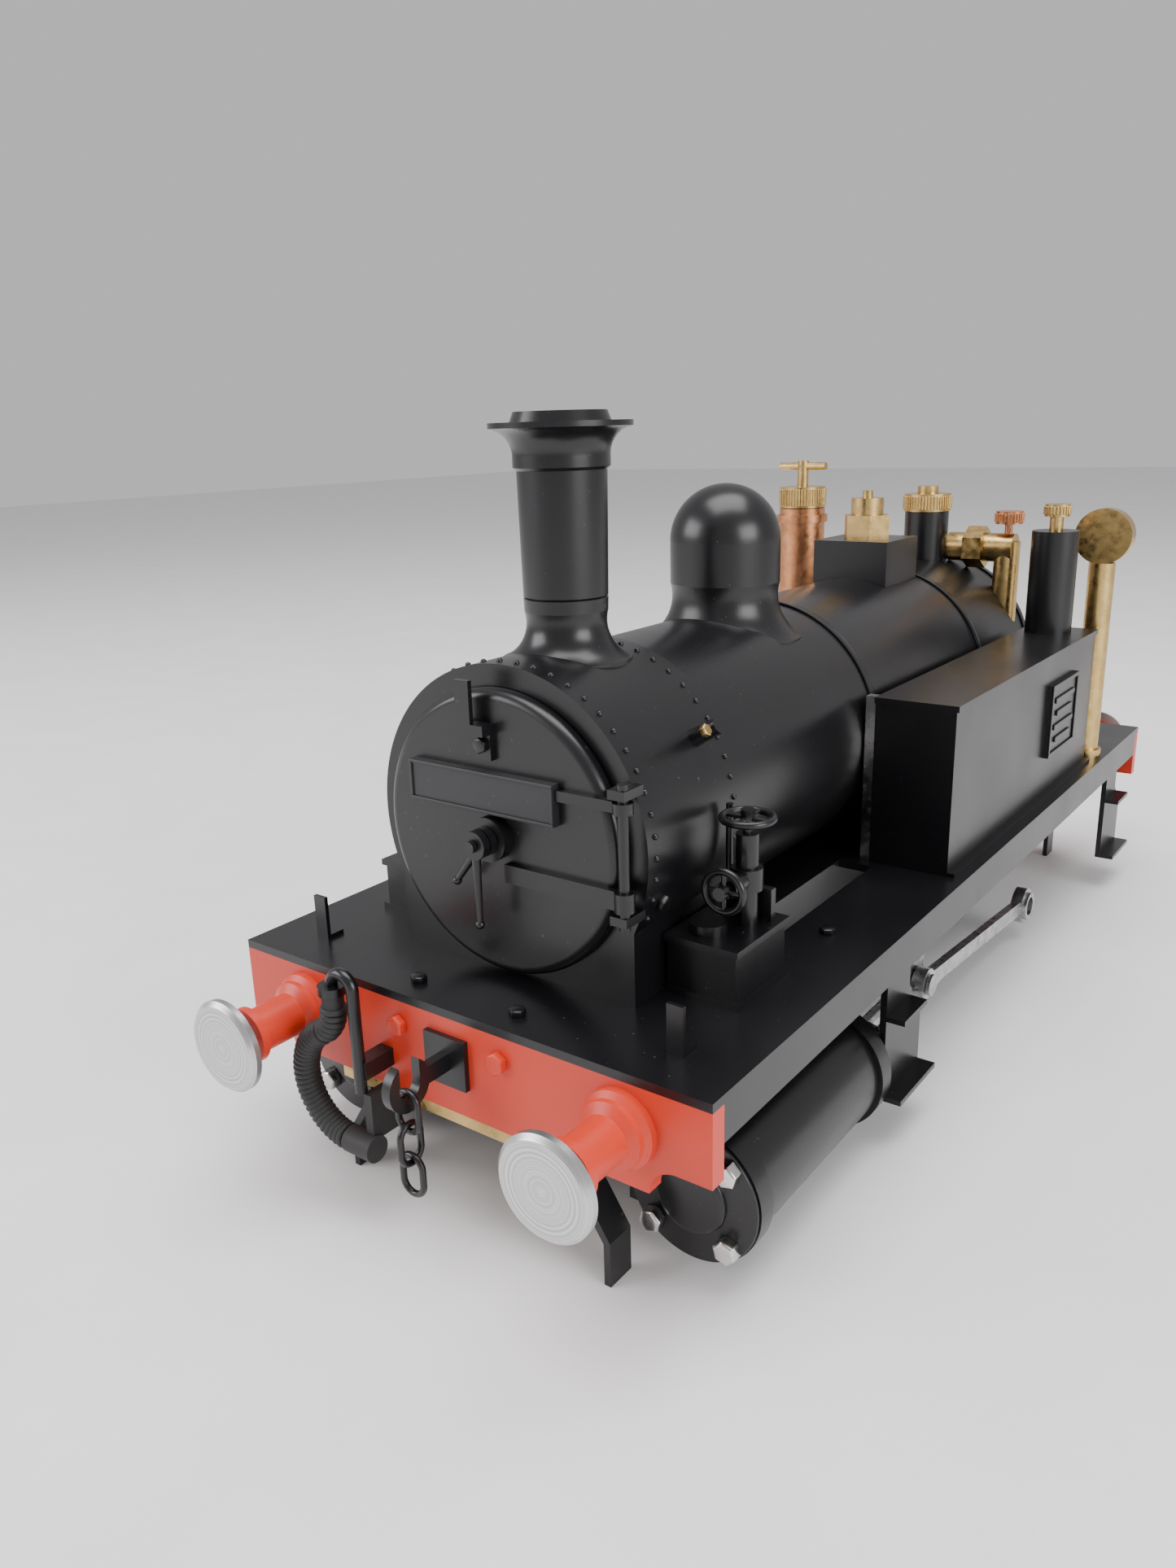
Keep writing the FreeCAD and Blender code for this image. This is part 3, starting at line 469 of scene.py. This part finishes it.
class LOCO_OT_covers(FinishOperator, bpy.types.Operator):
    """Stepped covers on the front of the cylinders."""

    bl_idname = "loco.covers"
    bl_label = "Cylinder covers"

    def execute(self, context):
        step_inset, step, boss_inset, boss = 4.2 * MM, 0.7 * MM, 0.8 * MM, 0.3 * MM
        for name in ("left", "right"):
            low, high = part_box(f"cylinder_{name}")
            centre = CYLINDER_ACROSS if high.x > 0 else -CYLINDER_ACROSS
            deselect()
            bpy.ops.mesh.primitive_cylinder_add(
                vertices=96, radius=9.3 * MM, depth=COVER_THICKNESS,
                location=(centre, low.y - COVER_THICKNESS / 2, CYLINDER_HEIGHT),
                rotation=(math.pi / 2, 0, 0))
            cover = bpy.context.object
            bpy.ops.object.transform_apply(location=True, rotation=True, scale=True)
            pick_faces(cover, lambda face: face.normal.y < -0.9)
            bpy.ops.mesh.inset(thickness=step_inset)
            bpy.ops.mesh.extrude_region_move(
                TRANSFORM_OT_translate={"value": (0, -step, 0)})
            bpy.ops.mesh.inset(thickness=boss_inset)
            bpy.ops.transform.translate(value=(0, -boss, 0))
            done()
            bevel_all(cover, 0.18 * MM)
            bpy.ops.object.shade_smooth_by_angle(angle=math.radians(35))
            cover.name = f"cylinder_cover_{name}"
            settle(cover, "chassis", self.finish("black"))
        return {"FINISHED"}


class LOCO_OT_hose(FinishOperator, bpy.types.Operator):
    """Close ribs wound round the brake hose."""

    bl_idname = "loco.hose"
    bl_label = "Hose ribs"

    def bend(self, centre_x, centre_z, radius, start, sweep, way):
        """Rib places round one bend, from the start angle through the sweep."""
        places = []
        for index in range(int(radius * sweep / RIB_PITCH)):
            angle = start + way * (index + 0.3) * RIB_PITCH / radius
            spot = (centre_x + radius * math.cos(angle), HOSE_Y,
                    centre_z + radius * math.sin(angle))
            places.append(aimed(spot, (-math.sin(angle), 0, math.cos(angle))))
        return places

    def execute(self, context):
        tight, wide, lean = 5.0 * MM, 8.0 * MM, math.radians(62)
        tight_x = HOSE_OUTLET_X - tight
        wide_x = tight_x + (tight + wide) * math.cos(lean)
        wide_z = HOSE_OUTLET_Z - (tight + wide) * math.sin(lean)
        places = self.bend(tight_x, HOSE_OUTLET_Z, tight, 0, lean, -1)
        places += self.bend(wide_x, wide_z, wide, math.pi - lean, math.radians(90) + lean, 1)
        deselect()
        bpy.ops.mesh.primitive_torus_add(
            major_radius=HOSE_RADIUS, minor_radius=self.sizes.hose_rib,
            major_segments=28, minor_segments=8)
        rib = bpy.context.object
        edit(True)
        bpy.ops.transform.resize(value=(1, 1, 1.15))
        done()
        bpy.ops.object.shade_smooth()
        repeat(rib, "vacuum_hose_ribs", places, "chassis", self.finish("rubber"))
        return {"FINISHED"}


class LOCO_OT_knurls(FinishOperator, bpy.types.Operator):
    """Grip ridges round the caps and knobs of the boiler fittings."""

    bl_idname = "loco.knurls"
    bl_label = "Knurled grips"

    def execute(self, context):
        grips = (("lubricator_cap", (-26.0, 52.0), 5.0, 85.5, 4.4, "brass", "brass"),
                 ("filler_cap", (0.0, 59.5), 4.9, 84.6, 3.6, "brass", "brass"),
                 ("steam_valve_knob", (17.0, 62.0), 2.8, 82.0, 2.6, "copper", "brass"),
                 ("gas_valve_spindle", (28.7, 54.5), 2.4, 84.3, 2.4, "brass", "brass"))
        for name, (across, along), radius, bottom, height, finish, slot in grips:
            deselect()
            bpy.ops.mesh.primitive_cylinder_add(
                vertices=8, radius=RIDGE_RADIUS, depth=(height - 0.8) * MM)
            ridge = bpy.context.object
            bevel_all(ridge, 0.06 * MM, 1)
            count = int(2 * math.pi * radius / RIDGE_PITCH)
            middle = (bottom + height / 2) * MM
            places = []
            for index in range(count):
                angle = 2 * math.pi * index / count
                at = Vector((across * MM + radius * MM * math.cos(angle),
                             along * MM + radius * MM * math.sin(angle), middle))
                places.append(Matrix.Translation(at))
            repeat(ridge, f"{name}_grip", places, name, self.finish(finish))
        return {"FINISHED"}


class LOCO_OT_plates(FinishOperator, bpy.types.Operator):
    """Raised frame and plain bars on the tank plates and a rim on the blank number plate."""

    bl_idname = "loco.plates"
    bl_label = "Plates"

    def bar(self, low, high):
        deselect()
        centre = (Vector(low) + Vector(high)) / 2
        bpy.ops.mesh.primitive_cube_add(size=1, location=centre)
        piece = bpy.context.object
        piece.scale = Vector(high) - Vector(low)
        bpy.ops.object.transform_apply(location=True, rotation=True, scale=True)
        bevel_all(piece, 0.1 * MM)
        return piece

    def execute(self, context):
        for side, side_name in ((1, "right"), (-1, "left")):
            face, proud = 37.2 * MM * side, 0.35 * MM * side
            low_x, high_x = min(face, face + proud), max(face, face + proud)
            front, rear, bottom, top, rim = 30.1 * MM, 47.1 * MM, 41.2 * MM, 55.2 * MM, 0.8 * MM
            spans = [((front, bottom), (rear, bottom + rim)), ((front, top - rim), (rear, top)),
                     ((front, bottom + rim), (front + rim, top - rim)),
                     ((rear - rim, bottom + rim), (rear, top - rim))]
            for row in range(4):
                height = bottom + (2.4 + 2.6 * row) * MM
                inset = (2.4 if row % 2 else 3.6) * MM
                spans.append(((front + inset, height), (rear - inset, height + 1.0 * MM)))
            bars = [self.bar((low_x, a[0], a[1]), (high_x, b[0], b[1])) for a, b in spans]
            self.join(bars, f"tank_plate_{side_name}", "chassis", "black")
        low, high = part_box("number_plate")
        rim, proud = 0.45 * MM, 0.25 * MM
        y_span = (low.y - proud, low.y)
        edges = [((low.x, low.z), (high.x, low.z + rim)), ((low.x, high.z - rim), (high.x, high.z)),
                 ((low.x, low.z + rim), (low.x + rim, high.z - rim)),
                 ((high.x - rim, low.z + rim), (high.x, high.z - rim))]
        bars = [self.bar((a[0], y_span[0], a[1]), (b[0], y_span[1], b[1])) for a, b in edges]
        self.join(bars, "number_plate_rim", "door", "plate")
        return {"FINISHED"}

    def join(self, bars, name, body, finish):
        deselect()
        for piece in bars:
            piece.select_set(True)
        bpy.context.view_layer.objects.active = bars[0]
        bpy.ops.object.join()
        piece = bpy.context.object
        piece.name = name
        settle(piece, body, self.finish(finish))


class LOCO_OT_stage(FinishOperator, bpy.types.Operator):
    """Pale floor and backdrop, soft lights and the camera."""

    bl_idname = "loco.stage"
    bl_label = "Stage"

    def light(self, name, at, aim, width, power, colour=(1, 1, 1)):
        lamp = bpy.data.lights.new(name, "AREA")
        lamp.shape = "RECTANGLE"
        lamp.size = width
        lamp.size_y = width * 0.7
        lamp.energy = power
        lamp.color = colour
        stand = bpy.data.objects.new(name, lamp)
        stand.location = at
        stand.rotation_euler = (Vector(aim) - Vector(at)).to_track_quat("-Z", "Y").to_euler()
        bpy.context.scene.collection.objects.link(stand)

    def execute(self, context):
        deselect()
        bpy.ops.mesh.primitive_plane_add(size=4.0, location=(0, 0.4, 0))
        floor = bpy.context.object
        bpy.ops.object.transform_apply(location=True, rotation=True, scale=True)
        finish, nodes, links, shader, place = start_finish("studio_paper")
        shader.inputs["Roughness"].default_value = 0.8
        fibre = add_noise(nodes, links, place, 40)
        tint = add_ramp(nodes, links, fibre.outputs["Fac"], ((0.3, grey(0.80)), (0.7, grey(0.84))))
        links.new(tint.outputs["Color"], shader.inputs["Base Color"])
        coat(floor, finish)
        world = bpy.data.worlds.new("studio")
        world.use_nodes = True
        background = world.node_tree.nodes["Background"]
        background.inputs["Color"].default_value = (0.80, 0.775, 0.79, 1)
        background.inputs["Strength"].default_value = 0.75
        context.scene.world = world
        self.light("overhead", (0.05, -0.05, 0.75), (0, 0, 0.03), 0.7, 7.0)
        self.light("front_left", (-0.55, -0.55, 0.35), (0, -0.05, 0.05), 0.5, 4.0, (1, 0.96, 0.98))
        self.light("right_side", (0.75, -0.15, 0.30), (0, 0, 0.04), 0.5, 4.5)
        self.camera(context)
        return {"FINISHED"}

    def camera(self, context):
        eye = Vector((0.09684, -0.19371, 0.1036))
        yaw, pitch, roll = math.radians(37.01), math.radians(16.789), math.radians(-1.672)
        ahead = Vector((-math.sin(yaw) * math.cos(pitch), math.cos(yaw) * math.cos(pitch),
                        -math.sin(pitch)))
        level = Vector((math.cos(yaw), math.sin(yaw), 0))
        above = level.cross(ahead)
        right = level * math.cos(roll) + above * math.sin(roll)
        up = above * math.cos(roll) - level * math.sin(roll)
        lens = bpy.data.cameras.new("camera")
        lens.sensor_width = 36.0
        lens.lens = 27.03
        lens.clip_start = 0.005
        lens.clip_end = 20.0
        camera = bpy.data.objects.new("camera", lens)
        turn = Matrix((right, up, -ahead)).transposed().to_4x4()
        camera.matrix_world = Matrix.Translation(eye) @ turn
        context.scene.collection.objects.link(camera)
        context.scene.camera = camera


OPERATORS = (LOCO_OT_paint, LOCO_OT_rivets, LOCO_OT_bands, LOCO_OT_covers, LOCO_OT_bolts,
             LOCO_OT_hose, LOCO_OT_knurls, LOCO_OT_plates, LOCO_OT_stage)


class LOCO_PT_sidebar(bpy.types.Panel):
    """Sizes and steps in the 3D view's sidebar."""

    bl_idname = "LOCO_PT_sidebar"
    bl_label = "Tank locomotive"
    bl_space_type = "VIEW_3D"
    bl_region_type = "UI"
    bl_category = "Locomotive"

    def draw(self, context):
        sizes = context.scene.locomotive_sizes
        for name in sizes.bl_rna.properties.keys():
            if name not in ("rna_type", "name"):
                self.layout.prop(sizes, name)
        for operator in OPERATORS:
            self.layout.operator(operator.bl_idname)


def register():
    for item in (LocomotiveSizes, *OPERATORS, LOCO_PT_sidebar):
        bpy.utils.register_class(item)
    bpy.types.Scene.locomotive_sizes = bpy.props.PointerProperty(type=LocomotiveSizes)


def unregister():
    del bpy.types.Scene.locomotive_sizes
    for item in reversed((LocomotiveSizes, *OPERATORS, LOCO_PT_sidebar)):
        bpy.utils.unregister_class(item)


def main():
    register()
    bpy.ops.loco.paint()
    bpy.ops.loco.rivets()
    bpy.ops.loco.bands()
    bpy.ops.loco.covers()
    bpy.ops.loco.bolts()
    bpy.ops.loco.hose()
    bpy.ops.loco.knurls()
    bpy.ops.loco.plates()
    bpy.ops.loco.stage()


if __name__ == "__main__":
    main()
